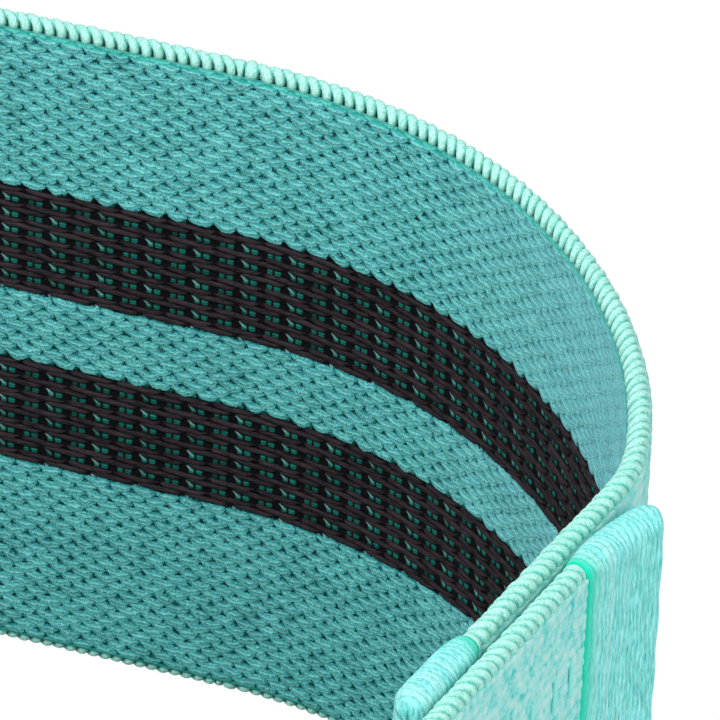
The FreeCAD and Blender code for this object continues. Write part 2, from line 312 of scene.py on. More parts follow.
def float_swell(along, up):
    """The swell of the teal floats, 0 to 1. In row r a float's middle is at every whole number
    along, odd rows half a float on. With u from -1 to 1 along the float, its line hangs below
    the row by FLOAT_HANG (1 - u^2), and its half width is FLOAT_THICK (1 - u^2) plus FLOAT_END
    of it times u^2. Its swell is ((1 - u^4) (1 - v^2))^0.5, where v is the distance from its
    line in half widths. A point can lie in the row just above it or in the row just below."""
    swell = np.zeros(along.shape)
    for step in (0, 1):
        row = np.floor(up) + step
        place = along - 0.5 * (row % 2) - PIT_SLANT * (up - row)
        u = 2 * (place - np.round(place))
        bow = 1 - u ** 2
        half = FLOAT_THICK * (FLOAT_END + (1 - FLOAT_END) * bow)
        v = (up - row + FLOAT_HANG * bow) / half
        here = np.sqrt(np.clip(1 - v ** 2, 0, 1) * np.clip(1 - u ** 4, 0, 1))
        for middle, reach in BLACK_ROWS:
            here = np.where(np.abs(row - middle) < reach, 0.0, here)
        swell = np.maximum(swell, here)
    return swell


def slackness(s):
    """How much the floats swell: fully on the far wall, less towards the lap, where the
    webbing is drawn flat by its seam. It grows from a quarter to 1 between two places."""
    return 0.25 + 0.75 * np.clip((s - FLAT_UNTIL) / (SLACK_FROM - FLAT_UNTIL), 0, 1) ** 1.5


# %% [markdown]
# ## The inner face cloth
# Each stretch of cloth is one closed slab: its front is the relief, its back a flat sheet. It is
# cut along the middles of the black stripes, where the cords hide the cuts. The stretches next to
# the viewer get a finer grid than the ones farther round.

# %% The shape of the inner face cloth
FINE, COARSE = (FLOAT / 8, ROW / 4), (FLOAT / 4, ROW / 2)
DETAIL = {"inner_tail": FINE, "far_wall": FINE, "free_end": COARSE, "near_wall": COARSE,
          "outer_tail": COARSE}
CUTS = (CLOTH_EDGE, LOWER_STRIPE + STRIPE / 2, UPPER_STRIPE + STRIPE / 2, BAND - CLOTH_EDGE)
LEVELS = ("low", "middle", "high")
BESIDE_END = 0.03


def steps(start, end, spacing):
    """Evenly spaced numbers from start to end, about spacing apart."""
    return np.linspace(start, end, max(2, round((end - start) / spacing) + 1))


def cloth_rings(stretch, spacing):
    """Evenly spaced rings, and one more right beside each end, which gives the end ring the
    relief's own slope, so that two stretches shade alike where they meet."""
    s = steps(*SPAN[stretch], spacing)
    return np.concatenate([s[:1], s[:1] + BESIDE_END, s[1:-1], s[-1:] - BESIDE_END, s[-1:]])


def inner_cloth(stretch, low, high):
    """A slab of the inner face between two heights: front points (s, -height, z), back points
    at the cloth's own thickness."""
    along_step, up_step = DETAIL[stretch]
    s = cloth_rings(stretch, along_step)
    z = steps(low, high, up_step)
    grid_s, grid_z = np.meshgrid(s, z, indexing="ij")
    along, up = weave(grid_s, grid_z)
    swell = float_swell(along, up)
    black = sum(np.abs(up - middle) < reach for middle, reach in BLACK_ROWS)
    edge = np.clip(np.minimum(grid_z - CLOTH_EDGE, BAND - CLOTH_EDGE - grid_z) / 0.6, 0, 1)
    height = FLOAT_RISE * swell * slackness(grid_s) * edge
    height = np.where(black & (swell <= 0), -GROUND_DEPTH, height)
    both = np.zeros((len(s), 2))
    t = np.concatenate([-height, both + FACE_CLOTH], 1)
    all_s = np.concatenate([grid_s, both + s[:, None]], 1)
    all_z = np.concatenate([grid_z, both + (high, low)], 1)
    coordinates = [np.concatenate([v, both], 1) for v in (along, up, slackness(grid_s))]
    values = {"yarn": np.stack([all_s, t, all_z], -1)[None],
              "weave": np.stack(coordinates, -1)[None]}
    return strip_point(all_s, t, all_z)[None], values


# %% [markdown]
# ## Shader arithmetic
# A material is a small formula: so much pit colour, so much yarn, a little noise. Nodes joined
# by hand hide that formula. One small class wraps a socket and gives it + - * and /, so that the
# formula is written as Python and each step adds its own node. Any other node comes from one
# function that takes its type, its settings and its inputs.

# %% A socket that can be used in a formula
DRESSED = "dressed_"


class Wire:
    """A value that flows out of a shader node."""

    def __init__(self, tree, socket):
        self.tree, self.socket = tree, socket

    def math(self, operation, *others):
        inputs = dict(enumerate((self, *others)))
        return shader_node(self.tree, "ShaderNodeMath", {"operation": operation}, inputs)

    def __add__(self, other):
        return self.math("ADD", other)

    def __mul__(self, other):
        return self.math("MULTIPLY", other)

    def __sub__(self, other):
        return self.math("SUBTRACT", other)

    def __truediv__(self, other):
        return self.math("DIVIDE", other)

    def __rsub__(self, other):
        return self * -1 + other

    __radd__, __rmul__ = __add__, __mul__

    def clamped(self):
        """The value, kept between 0 and 1."""
        return self.math("MAXIMUM", 0.0).math("MINIMUM", 1.0)


# %% Any other node
def shader_node(tree, kind, settings=None, inputs=None, output=0):
    """Adds one node: its settings first, then the value or the link of each socket. stops are
    a colour ramp's places and colours."""
    made = tree.nodes.new(kind)
    for name, value in (settings or {}).items():
        if name == "stops":
            ramp = made.color_ramp.elements
            for place, _ in value[2:]:
                ramp.new(place)
            for element, (place, paint) in zip(ramp, sorted(value)):
                element.position, element.color = place, paint
        else:
            setattr(made, name, value)
    for name, value in (inputs or {}).items():
        if isinstance(value, Wire):
            tree.links.new(value.socket, made.inputs[name])
        else:
            made.inputs[name].default_value = value
    return Wire(tree, made.outputs[output])


# %% Colours and their mixtures
def colour(red, green, blue):
    """A colour given as a screen shows it, 0 to 255, in the linear values that nodes use."""
    screen = np.array([red, green, blue]) / 255
    linear = np.where(screen <= 0.04045, screen / 12.92, ((screen + 0.055) / 1.055) ** 2.4)
    return (*linear.tolist(), 1.0)


# A Mix node has one set of sockets for each kind of value. These are its factor and its colours.
MIX_SOCKETS, MIX_RESULT = (0, 6, 7), 2


def mixed(factor, first, second, how="MIX"):
    """Two colours mixed by a factor."""
    values = (factor, first, second)
    tree = next(value.tree for value in values if isinstance(value, Wire))
    settings = {"data_type": "RGBA", "blend_type": how}
    return shader_node(tree, "ShaderNodeMix", settings, dict(zip(MIX_SOCKETS, values)), MIX_RESULT)


# %% Values from the mesh, and noise
def attribute(tree, name, vector=False):
    """One of the values that the mesh carries at its points."""
    return shader_node(tree, "ShaderNodeAttribute", {"attribute_name": name},
                       output=1 if vector else 2)


def noise(tree, place, scale, detail=2.0, roughness=0.6):
    """Smooth random patches, about scale of them in each unit of place."""
    inputs = {"Vector": place, "Scale": scale, "Detail": detail, "Roughness": roughness}
    return shader_node(tree, "ShaderNodeTexNoise", {}, inputs)


def stretched(tree, place, factors):
    """The place with each axis scaled, which draws a pattern out into streaks."""
    return shader_node(tree, "ShaderNodeVectorMath", {"operation": "MULTIPLY"},
                       {0: place, 1: factors})


# %% Closing and opening a material
# How high a bump of height 1 stands, in metres, and how little dry yarn shines.
BUMP_REACH, DRY_SHINE = 0.0002, 0.12


def cloth_material(name, base, bump, strength, roughness=0.9):
    """Closes a material: base colour, a bump from a height wire, and the constants of dry yarn,
    which are set on the shader's own sockets."""
    tree = base.tree
    shader = tree.nodes["Principled BSDF"]
    tree.links.new(base.socket, shader.inputs["Base Color"])
    lifted = shader_node(tree, "ShaderNodeBump", {},
                         {"Height": bump, "Strength": strength, "Distance": BUMP_REACH})
    tree.links.new(lifted.socket, shader.inputs["Normal"])
    shader.inputs["Roughness"].default_value = roughness
    shader.inputs["Specular IOR Level"].default_value = DRY_SHINE
    print("material", name)
    return bpy.data.materials[DRESSED + name]


def new_tree(name):
    """A new material's node tree, with its shader in place. The CAD model's own materials keep
    their plain names."""
    material = bpy.data.materials.new(DRESSED + name)
    material.use_nodes = True
    return material.node_tree


# %% [markdown]
# ## The teal cloth's finish
# The finish repeats the float formula at every point that is drawn, so the pits between floats
# are as sharp as yarn is. Across each float run about three strands, and each float has its own
# lightness. A picture of cloth would be quicker, but it repeats, and it blurs in a close view.

# %% The float formula as shader arithmetic
def parts(wire):
    """The three numbers of a vector."""
    split = shader_node(wire.tree, "ShaderNodeSeparateXYZ", {}, {"Vector": wire}).socket.node
    return [Wire(wire.tree, socket) for socket in split.outputs]


def lottery(first, second):
    """A random number from 0 to 1 for each pair of whole numbers."""
    pair = shader_node(first.tree, "ShaderNodeCombineXYZ", {}, {"X": first, "Y": second})
    return shader_node(first.tree, "ShaderNodeTexWhiteNoise", {"noise_dimensions": "2D"},
                       {"Vector": pair})


def chosen(condition, first, second):
    """The second value where the condition is 1, the first where it is 0."""
    return first + (second - first) * condition


def drawn_floats(along, up):
    """The float formula of float_swell: swell, place across the yarn (-1 to 1) and a random
    number for each float."""
    found = []
    for step in (0, 1):
        row = up.math("FLOOR") + step
        place = along - (row * 0.5).math("FRACT") - (up - row) * PIT_SLANT
        cell = place.math("ROUND")
        u = (place - cell) * 2
        square = u * u
        bow = 1 - square
        half = bow * (FLOAT_THICK * (1 - FLOAT_END)) + FLOAT_THICK * FLOAT_END
        v = (up - row + bow * FLOAT_HANG) / half
        here = ((1 - v * v).clamped() * (1 - square * square).clamped()).math("SQRT")
        for middle, reach in BLACK_ROWS:
            here = here * (1 - row.math("COMPARE", middle, reach))
        found.append((here, v, lottery(row, cell)))
    below, above = found
    higher = above[0].math("GREATER_THAN", below[0])
    return [chosen(higher, low, high) for low, high in zip(below, above)]


# %% [markdown]
# ## The ground of the black stripes
# Where the black stripes take the place of teal rows, the ground between the cords is nearly
# black, and teal weft shows there as pairs of square blobs. In every second pair a pale end of
# weft slants down into the first blob. These threads could be meshes too, but they lie in the
# shade of the cords, so it is enough to draw them on the ground.

# %% Blobs between the cords
GRIP_ROWS, GRIP_ROW = 7, STRIPE / 7


def square_blob(along, up, middle, half_along, half_up):
    """A blob with rounded corners: 1 - x^4 - y^4, kept between 0 and 1."""
    x = (along - middle) / half_along
    y = up / half_up
    return (1 - x.math("POWER", 4.0) - y.math("POWER", 4.0)).clamped()


def stripe_ground(s, z, fibres):
    """Colour and height of the ground. Each float's length of a slot between two rows of cords
    holds a first blob, a second blob and a dark bar."""
    upper = z.math("GREATER_THAN", LOWER_STRIPE + STRIPE + STRIPE_GAP / 2)
    slot = (z - LOWER_STRIPE - upper * (STRIPE + STRIPE_GAP)) / GRIP_ROW
    number = slot.math("ROUND")
    up = (slot - number) * GRIP_ROW
    cell = (s / FLOAT).math("FLOOR")
    along = s - cell * FLOAT
    luck = lottery(number, cell)
    comet_cell = (cell * 0.5).math("FRACT").math("LESS_THAN", 0.25)
    first = square_blob(along, up + 0.04, 1.56, 0.36, 0.48)
    second = square_blob(along, up, 0.62, 0.43, 0.50)
    slant = along - 1.95 + (0.35 - up) * 0.9
    comet = square_blob(slant, up - 0.12, 0.0, 0.24, 0.42) * comet_cell
    strands = (up * 16.0 + fibres * 3.0).math("SINE") * 0.5 + 0.5
    teal = mixed(strands, colour(6, 92, 82), colour(40, 158, 140))
    blob = (first * (luck * 0.9 + 0.25) + second * (luck * 0.6 + 0.55)) * 1.25
    base = mixed(blob.clamped(), mixed(fibres, colour(5, 6, 10), colour(20, 20, 26)), teal)
    base = mixed((comet * (luck + 0.35)).clamped(), base,
                 mixed(fibres, colour(84, 150, 144), colour(150, 196, 190)))
    return base, (first + second + comet) * 1.2 - 1.0


# %% [markdown]
# ## The teal material
# The formula, the fibres and the stripe ground come together in one material, so that a float at
# a stripe's border is whole. Its colours run through a ramp by the height of the yarn, which
# paints shade into the low places and pits and a pale highlight on the crowns of the floats.

# %% The teal material
def teal_cloth():
    """The float's swell, roughened by fibres and grain, is looked up in a ramp that runs from the
    painted shade of a pit to the painted highlight on the crown of a float. Near the lap, where the
    yarn is drawn flat, it is paler and bluer with a painted sheen. Pale painted highlights run
    along the strands. Beside the corded edges the cloth is greener with painted shade, and low down
    a little painted shade makes it darker."""
    tree = new_tree("teal_face_cloth")
    place = attribute(tree, "yarn", vector=True)
    s, _, z = parts(place)
    along, up, slack = parts(attribute(tree, "weave", vector=True))
    fibres = noise(tree, stretched(tree, place, (2.2, 1.0, 7.0)), 1.0, 3.0, 0.7)
    grain = noise(tree, place, 4.5, 3.0, 0.75)
    sway = noise(tree, place, 1.1, 2.0)
    patches = noise(tree, place, 0.30, 2.0)
    swell, across, luck = drawn_floats(along + (sway - 0.5) * 0.3,
                                       up + (grain - 0.5) * 0.8 + (sway - 0.5) * 0.5)
    strand = (across * 8.0 + fibres * 9.0 + luck * 3.0).math("SINE") * 0.5 + 0.5
    # Painted shade and highlight: the ramp below turns this height into dark pits and low places
    # and pale float crowns. Where the cloth is drawn flat, this painted shade is lighter.
    body = swell + (fibres - 0.5) * 1.0 + (grain - 0.5) * 1.0 + (strand - 0.5) * 0.16
    body = body + (1 - slack) * 0.30
    yarn = shader_node(tree, "ShaderNodeValToRGB", {"stops": [
        (0.0, colour(0, 50, 56)), (1.0, colour(112, 196, 194)), (0.20, colour(2, 86, 90)),
        (0.36, colour(34, 144, 146)), (0.58, colour(72, 172, 172)),
        (0.84, colour(86, 182, 181))]}, {"Fac": body})
    # Painted sheen: where the yarn is drawn flat near the lap, it is made paler and bluer.
    yarn = mixed((1 - slack) * 0.95, yarn, colour(130, 203, 213))
    # Random tone of each float and patch, plus painted highlights along the strands and painted
    # shade lower down (the z term). The pale colour mixed in below is the painted highlight.
    tone_and_painted_light = (luck - 0.5) * 0.22 + (patches - 0.5) * 0.5 + (strand - 0.5) * 0.50
    tone_and_painted_light = tone_and_painted_light + (grain - 0.5) * 1.3 + (fibres - 0.5) * 1.1 + (z - 55) * 0.0012
    yarn = mixed(1.0, yarn, tone_and_painted_light * (slack * 0.7 + 0.3) + 1.0, "MULTIPLY")
    yarn = mixed((tone_and_painted_light * 0.45).clamped(), yarn, colour(170, 222, 214))
    # Painted shade: a saturated green beside the corded edges, where they shade the cloth.
    from_edge = BAND / 2 - (z - BAND / 2).math("ABSOLUTE")
    yarn = mixed(((2.0 - from_edge) * 3.0).clamped() * 0.45, yarn, colour(16, 186, 160))
    ground, ground_height = stripe_ground(s, z, fibres)
    black = sum((up.math("COMPARE", middle, reach + 0.3) for middle, reach in BLACK_ROWS), 0.0)
    black = black * swell.math("LESS_THAN", 0.02)
    base = mixed(black, yarn, ground)
    height = swell * 1.0 + strand * 0.35 + fibres * 1.2 + grain * 1.0 + black * ground_height
    return cloth_material("teal_face_cloth", base, height, 0.65)


# %% Dress the inner face
TEAL = teal_cloth()
for stretch in SPAN:
    for level, low, high in zip(LEVELS, CUTS, CUTS[1:]):
        points, values = inner_cloth(stretch, low, high)
        piece = swept_mesh(f"knit_{stretch}_{level}", points, values)
        seat(piece, stretch, f"inner_face_cloth_{stretch}", TEAL)


# %% [markdown]
# ## The grip cords
# Each black stripe holds seven rows of rubber-covered cord, two cords to a row. A cord floats
# over the cloth for most of a repeat and then dips under a weft, and its neighbour dips half a
# repeat later. The dips line up from row to row, in dark columns. Each float lies a little
# aslant, like a roof tile that shows from under the next. So a cord is a tube whose radius,
# depth and height change along it.

# %% The shape of the grip cords
INNER_OVERCAST, OUTER_OVERCAST = 12.0, 14.0
GRIP_REPEAT = 2 * FLOAT
DIVE_SPREAD, CORD_SLANT = 0.075, 0.26
CORD_HALF, CORD_TALL, CORD_SPREAD = 0.32, 0.27, 0.29
CORD_FLOAT, CORD_DIP = 0.06, 0.40
CORD_RING = 6
CORD_STEP = {"inner_tail": 0.4, "far_wall": 0.4, "free_end": 0.9, "near_wall": 0.9,
             "outer_tail": 0.9}
FIRST_DIP = 0.425


def open_span(stretch):
    """Where a stretch's cords and edges start and end: they stop at the overcast ends."""
    start, end = SPAN[stretch]
    start += INNER_OVERCAST if stretch == "inner_tail" else 0.0
    end -= OUTER_OVERCAST if stretch == "outer_tail" else 0.0
    return start, end


def grip_stripe(stretch, bottom):
    """Fourteen tubes. With x the distance from the nearest dip, as a part of a repeat, dive =
    exp(-(x / DIVE_SPREAD)^2). A cord's middle lies CORD_FLOAT above the face less CORD_DIP times
    dive, its half width shrinks by 0.4 dive, and it slants by CORD_SLANT over a repeat."""
    s = steps(*open_span(stretch), CORD_STEP[stretch])[None]
    cord = np.arange(2 * GRIP_ROWS)[:, None]
    row, twin = cord // 2, cord % 2
    wander = 0.012 * np.sin(s * 0.37 + row * 2.1) + 0.010 * np.sin(s * 0.83 + cord * 1.3)
    phase = s / GRIP_REPEAT - FIRST_DIP - 0.5 * twin + wander
    x = phase - np.round(phase)
    dive = np.exp(-(x / DIVE_SPREAD) ** 2)
    slant = (phase - np.floor(phase) - 0.5) * (1 - dive) * CORD_SLANT
    z = bottom + (row + 0.5) * GRIP_ROW + np.where(twin == 0, -1, 1) * CORD_SPREAD
    z = z + slant + 0.04 * np.sin(s * 1.9 + cord * 2.7)
    t = -CORD_FLOAT + CORD_DIP * dive - 0.05 * np.sin(phase * math.pi) ** 2
    half = CORD_HALF * (1 - 0.4 * dive)
    round_cord = np.linspace(0, 2 * math.pi, CORD_RING, endpoint=False)
    ring_t = t[..., None] - CORD_TALL * (1 - 0.3 * dive[..., None]) * np.cos(round_cord)
    ring_z = z[..., None] + half[..., None] * np.sin(round_cord)
    ring_s = s[..., None] + 0 * ring_t
    turn = round_cord + 0 * ring_t
    luck = chance(np.floor(phase), cord)[..., None]
    values = {"yarn": np.stack([ring_s, turn * 0.4 + cord[..., None] * 3.0, ring_z], -1),
              "dive": dive[..., None] + 0 * ring_t, "shade": luck + 0 * ring_t}
    return strip_point(ring_s, ring_t, ring_z), values


# %% The grip cords' finish
def grip_material():
    """Near black with a brown cast. Fine filaments run along the cord, wound a little. Where a cord
    dips under the weft, it is darkened with painted shade.
    """
    tree = new_tree("grip_cord")
    place = attribute(tree, "yarn", vector=True)
    dive, shade = attribute(tree, "dive"), attribute(tree, "shade")
    filaments = noise(tree, stretched(tree, place, (0.8, 2.2, 7.0)), 1.0, 3.0)
    dust = noise(tree, place, 2.6, 3.0)
    streaks = ((filaments - 0.34) * 2.6).clamped()
    base = mixed(streaks, colour(8, 7, 10), colour(64, 52, 57))
    # Painted shade where a cord dips under the weft.
    base = mixed((dive * 0.85).clamped(), base, colour(5, 6, 9))
    base = mixed(((shade - 0.5) * 0.4 + (dust - 0.45) * 0.6).clamped(), base,
                 colour(80, 68, 73))
    return cloth_material("grip_cord", base, filaments + dust * 0.5, 0.8, 0.6)


# %% Dress the black stripes
GRIP = grip_material()
for stretch in SPAN:
    for side, bottom in (("lower", LOWER_STRIPE), ("upper", UPPER_STRIPE)):
        points, values = grip_stripe(stretch, bottom)
        piece = swept_mesh(f"{side}_cords_{stretch}", points, values)
        seat(piece, stretch, f"{side}_grip_cords_{stretch}", GRIP)


# %% [markdown]
# ## The corded edges
# Each edge of the webbing is a cord bound with thick mint yarn, one wrap every 1.42 millimetres.
# A wrap leans as it goes over the edge, and the wraps press against each other, so the gaps
# between them are sharp on the inner side and soft on the crown. The edge is one tube whose
# rings lean with the wraps, and whose radius swells between the gaps.

# %% The shape of a corded edge
WRAP = FLOAT / 2
EDGE_HALF_T, EDGE_HALF_Z = 1.24, 1.18
WRAP_LEAN, LEAN_EASING = 0.558, 2.0
WRAP_PHASES = np.array([0.0, 0.07, 0.2, 0.4, 0.6, 0.8, 0.93])
EDGE_RING = 18


def corded_edge(stretch, upper):
    """One tube. With x from -1 to 1 across a wrap, its radius is 1 - deep (1 - (1 - x^2)^0.5)
    times an ellipse, where deep is larger on both flanks than on the crown. Angle 0 points into
    the loop. A ring's points are moved along the strip by -cos(angle) times WRAP_LEAN of a wrap,
    and less near the stretch's ends, so that the end rings are flat and meet their neighbours."""
    start, end = open_span(stretch)
    phase = (np.arange(math.floor(start / WRAP), math.ceil(end / WRAP))[:, None] + WRAP_PHASES)
    phase = phase.ravel()
    phase = phase[(phase > start / WRAP + 0.02) & (phase < end / WRAP - 0.02)]
    phase = np.concatenate([[start / WRAP], phase, [end / WRAP]])[:, None]
    number = np.floor(phase)
    x = 2 * (phase - number) - 1
    angle = np.linspace(0, 2 * math.pi, EDGE_RING, endpoint=False)[None]
    flank = np.abs(np.cos(angle)) ** 1.5 * (0.75 + 0.25 * np.cos(angle))
    deep = 0.21 + 0.49 * flank
    swell = 1 - deep * (1 - np.sqrt(np.clip(1 - x ** 2, 0, 1)))
    swell = swell * (0.96 + 0.08 * chance(number, 31))
    side = 1 if upper else -1
    t = WEBBING / 2 - EDGE_HALF_T * swell * np.cos(angle)
    middle = BAND - EDGE_HALF_Z if upper else EDGE_HALF_Z
    z = middle + side * EDGE_HALF_Z * swell * np.sin(angle)
    z = z + 0.06 * np.sin(phase * 2.4) * (side > 0)
    from_end = np.minimum(phase * WRAP - start, end - phase * WRAP)
    easing = np.clip(from_end / LEAN_EASING, 0, 1)
    s = phase * WRAP - np.cos(angle) * WRAP_LEAN * WRAP * easing + 0 * t
    # gap and root are masks for painted shade: gap lies between the wraps and is deeper on the
    # inner side, and root lies on the side that meets the cloth.
    inner = 0.5 + 0.5 * np.cos(angle)
    gap = np.abs(x) ** (8 - 4 * flank) * (0.05 + flank * (0.45 + 0.55 * inner)) + 0 * t
    root = np.clip(0.1 - np.sin(angle), 0, 1) + 0 * t
    values = {"yarn": np.stack([s, angle * 1.4 + 0 * t, z], -1)[None], "gap": gap[None],
              "wrap": (x + 0 * t)[None], "root": root[None],
              "shade": (chance(number, 41) + 0 * t)[None]}
    return strip_point(s, t, z)[None], values


# %% The mint yarn
def mint_yarn(name, pale, middle, gap_colour):
    """Bulky pale yarn: many fine filaments run round each wrap. Each wrap's middle is pale with a
    painted highlight, and pale patches of painted highlight lie over it. The gaps between the wraps
    and the side that meets the cloth carry painted shade, deep and saturated, as light that gets in
    there has passed through the yarn."""
    tree = new_tree(name)
    place = attribute(tree, "yarn", vector=True)
    gap, wrap = attribute(tree, "gap"), attribute(tree, "wrap")
    shade, root = attribute(tree, "shade"), attribute(tree, "root")
    filaments = noise(tree, stretched(tree, place, (5.0, 1.2, 1.0)), 1.0, 3.0)
    fuzz = noise(tree, place, 5.0, 3.0)
    # Painted highlight: each wrap is paler in its middle than towards its gaps.
    body = (1 - wrap.math("ABSOLUTE").math("POWER", 2.5)) + (filaments - 0.5) * 0.9
    base = mixed(body.clamped(), middle, pale)
    # Pale patches of painted highlight.
    base = mixed(((shade - 0.5) * 0.3 + (fuzz - 0.48) * 1.6).clamped(), base,
                 colour(212, 248, 240))
    base = mixed(1.0, base, (filaments - 0.5) * 1.0 + (fuzz - 0.5) * 0.7 + 1.0, "MULTIPLY")
    # Painted shade: saturated green on the side that meets the cloth, and deep green in the gaps
    # between the wraps.
    base = mixed((root * 0.8).clamped(), base, colour(44, 208, 184))
    base = mixed((gap * 1.5 + (fuzz - 0.5) * gap * 2).clamped(), base, gap_colour)
    return cloth_material(name, base, filaments + fuzz * 0.4, 0.8)


# %% Dress the corded edges
# The pale colour is the painted highlight on each wrap's middle, and the deep green is the painted
# shade in the gaps.
EDGE_YARN = mint_yarn("selvage_yarn", colour(172, 234, 221), colour(96, 208, 188),
                      colour(8, 96, 84))
for stretch in SPAN:
    for side, upper in (("lower", False), ("upper", True)):
        points, values = corded_edge(stretch, upper)
        piece = swept_mesh(f"{side}_edge_{stretch}", points, values)
        seat(piece, stretch, f"{side}_selvage_{stretch}", EDGE_YARN)


# %% [markdown]
# ## The outer face
# The outside is the same weave in a pale brushed yarn: soft mint clumps with deeper aqua between
# them, partly the yarn's own mottle and partly painted shade. It needs less relief, because
# brushing has blurred the floats.

# %% The shape of the brushed cloth
CLUMP = 1.42
OUTER_STEP = {"inner_tail": 0.9, "outer_tail": 0.4, "near_wall": 0.75, "far_wall": 0.9,
              "free_end": 0.75}


def clumps(s, z):
    """Brushed clumps: the product of two cosines on a brick pattern, pushed about by chance."""
    row = np.floor(z / CLUMP + 0.5)
    shift = np.where(row % 2 > 0.5, 0.5, 0.0)
    cell = np.floor(s / CLUMP + shift)
    along = np.cos(math.pi * (s / CLUMP + shift - cell - 0.5 + (chance(row, cell) - 0.5) * 0.3))
    tall = np.cos(math.pi * (z / CLUMP - row + (chance(cell, row) - 0.5) * 0.3))
    return np.clip(along, 0, 1) * np.clip(tall, 0, 1), chance(cell, row, 51)


def outer_cloth(stretch):
    """A slab: a brushed front outside, a flat back at the cloth's own thickness."""
    spacing = OUTER_STEP[stretch]
    s = cloth_rings(stretch, spacing)
    z = steps(CLOTH_EDGE, BAND - CLOTH_EDGE, spacing)
    grid_s, grid_z = np.meshgrid(s, z, indexing="ij")
    clump, shade = clumps(grid_s, grid_z)
    back_z = np.array([z[-1], z[0]])
    ends = np.zeros((len(s), 2))
    grid_s = np.concatenate([grid_s, np.repeat(s[:, None], 2, 1)], 1)
    t = np.concatenate([WEBBING + 0.16 * clump, ends + WEBBING - FACE_CLOTH], 1)
    all_z = np.concatenate([grid_z, ends + back_z], 1)
    values = {"clump": np.concatenate([clump, ends], 1)[None],
              "shade": np.concatenate([shade, ends], 1)[None],
              "yarn": np.stack([grid_s, t, all_z], -1)[None]}
    return strip_point(grid_s, t, all_z)[None], values


# %% The brushed finish
def brushed_cloth():
    """Pale clumps over aqua ground, with loose fibres in every direction. Colour follows height, so
    the clumps get a painted highlight and the low places between them a little painted shade.
    """
    tree = new_tree("mint_face_cloth")
    place = attribute(tree, "yarn", vector=True)
    clump, shade = attribute(tree, "clump"), attribute(tree, "shade")
    fibres = noise(tree, place, 2.6, 5.0, 0.75)
    patches = noise(tree, place, 0.7, 2.0)
    # Painted shade and highlight over the yarn's own mottle: colour is looked up by this height, so
    # the low places between clumps are darker.
    height = clump * 0.45 + (fibres - 0.5) * 1.9 + 0.42
    base = shader_node(tree, "ShaderNodeValToRGB", {"stops": [
        (0.0, colour(84, 212, 204)), (1.0, colour(198, 243, 238)), (0.25, colour(136, 230, 223)),
        (0.6, colour(168, 238, 232))]}, {"Fac": height + (patches - 0.5) * 2.6})
    base = mixed(((shade - 0.5) * 0.6).clamped(), base, colour(138, 228, 226))
    return cloth_material("mint_face_cloth", base, height, 0.5)


# %% Dress the outer face
MINT = brushed_cloth()
for stretch in SPAN:
    points, values = outer_cloth(stretch)
    piece = swept_mesh(f"brushed_{stretch}", points, values)
    seat(piece, stretch, f"outer_face_cloth_{stretch}", MINT)


# %% [markdown]
# ## Inside the webbing
# Square rubber threads run the whole way round between the two cloths and give the band its
# pull, and a filler cord runs in each corded edge. They can't be seen, but they stretch with the
# walls, so they are made as plain closed tubes and seated on the same stretches as their cloth.

# %% Plain tubes and plain yarn
RUBBER_COUNT, RUBBER_SIDE, FILLER_RADIUS = 25, 0.9, 0.6
INSIDE_STEP = 4.0


def plain_tubes(stretch, middles, radius, corners):
    """Tubes of a regular outline, radius (cos a, sin a) about each middle (t, z)."""
    start, end = open_span(stretch) if corners > 4 else SPAN[stretch]
    s = steps(start, end, INSIDE_STEP)[None, :, None]
    angle = (np.arange(corners) + 0.5) * 2 * math.pi / corners
    t = middles[:, 0, None, None] + radius * np.cos(angle) + 0 * s
    z = middles[:, 1, None, None] + radius * np.sin(angle) + 0 * s
    s = s + 0 * t
    return strip_point(s, t, z), {"yarn": np.stack([s, t, z], -1)}


def plain_yarn(name, dark, light, stretch_factors):
    """Two close shades in streaks along the thread."""
    tree = new_tree(name)
    place = attribute(tree, "yarn", vector=True)
    streaks = noise(tree, stretched(tree, place, stretch_factors), 1.0, 3.0)
    return cloth_material(name, mixed(streaks, dark, light), streaks, 0.4)


# %% Dress the rubber threads and the filler cords
RUBBER = plain_yarn("rubber_thread", colour(196, 188, 168), colour(232, 226, 208), (0.3, 2, 2))
FILLER = plain_yarn("filler_cord", colour(196, 226, 222), colour(236, 248, 246), (2.5, 2, 2))
SELVAGE_TALL = 2.6
cloth_tall = BAND - 2 * SELVAGE_TALL
thread_z = SELVAGE_TALL + (np.arange(RUBBER_COUNT) + 0.5) * cloth_tall / RUBBER_COUNT
thread_middles = np.stack([np.full(RUBBER_COUNT, WEBBING / 2), thread_z], -1)
filler_z = np.array([SELVAGE_TALL / 2, BAND - SELVAGE_TALL / 2])
filler_middles = np.stack([np.full(2, WEBBING / 2), filler_z], -1)
for stretch in SPAN:
    points, values = plain_tubes(stretch, thread_middles, RUBBER_SIDE / math.sqrt(2), 4)
    piece = swept_mesh(f"rubber_{stretch}", points, values)
    seat(piece, stretch, f"rubber_threads_{stretch}", RUBBER)
    points, values = plain_tubes(stretch, filler_middles, FILLER_RADIUS, 8)
    piece = swept_mesh(f"filler_{stretch}", points, values)
    seat(piece, stretch, f"selvage_filler_cords_{stretch}", FILLER)


# %% [markdown]
# ## The overcast ends
# Each cut end is closed by dense stitches of soft thread that go over both edges and both faces,
# like a sleeve. The sleeve is puffy on its free side and thinner where it is pressed against the
# other ply. It rolls in where it starts and is round at the cut end. Its threads lie across the
# strip, so their ridges run round the sleeve.

# %% The outline of a sleeve
OVERCAST_THREAD = 0.84
PUFF, PRESSED, OVERCAST_CAP, CUT_ROUND, CUT_DROP = 0.95, 0.50, 0.7, 2.0, 1.6
AROUND, GIRTH = 320, 174.0


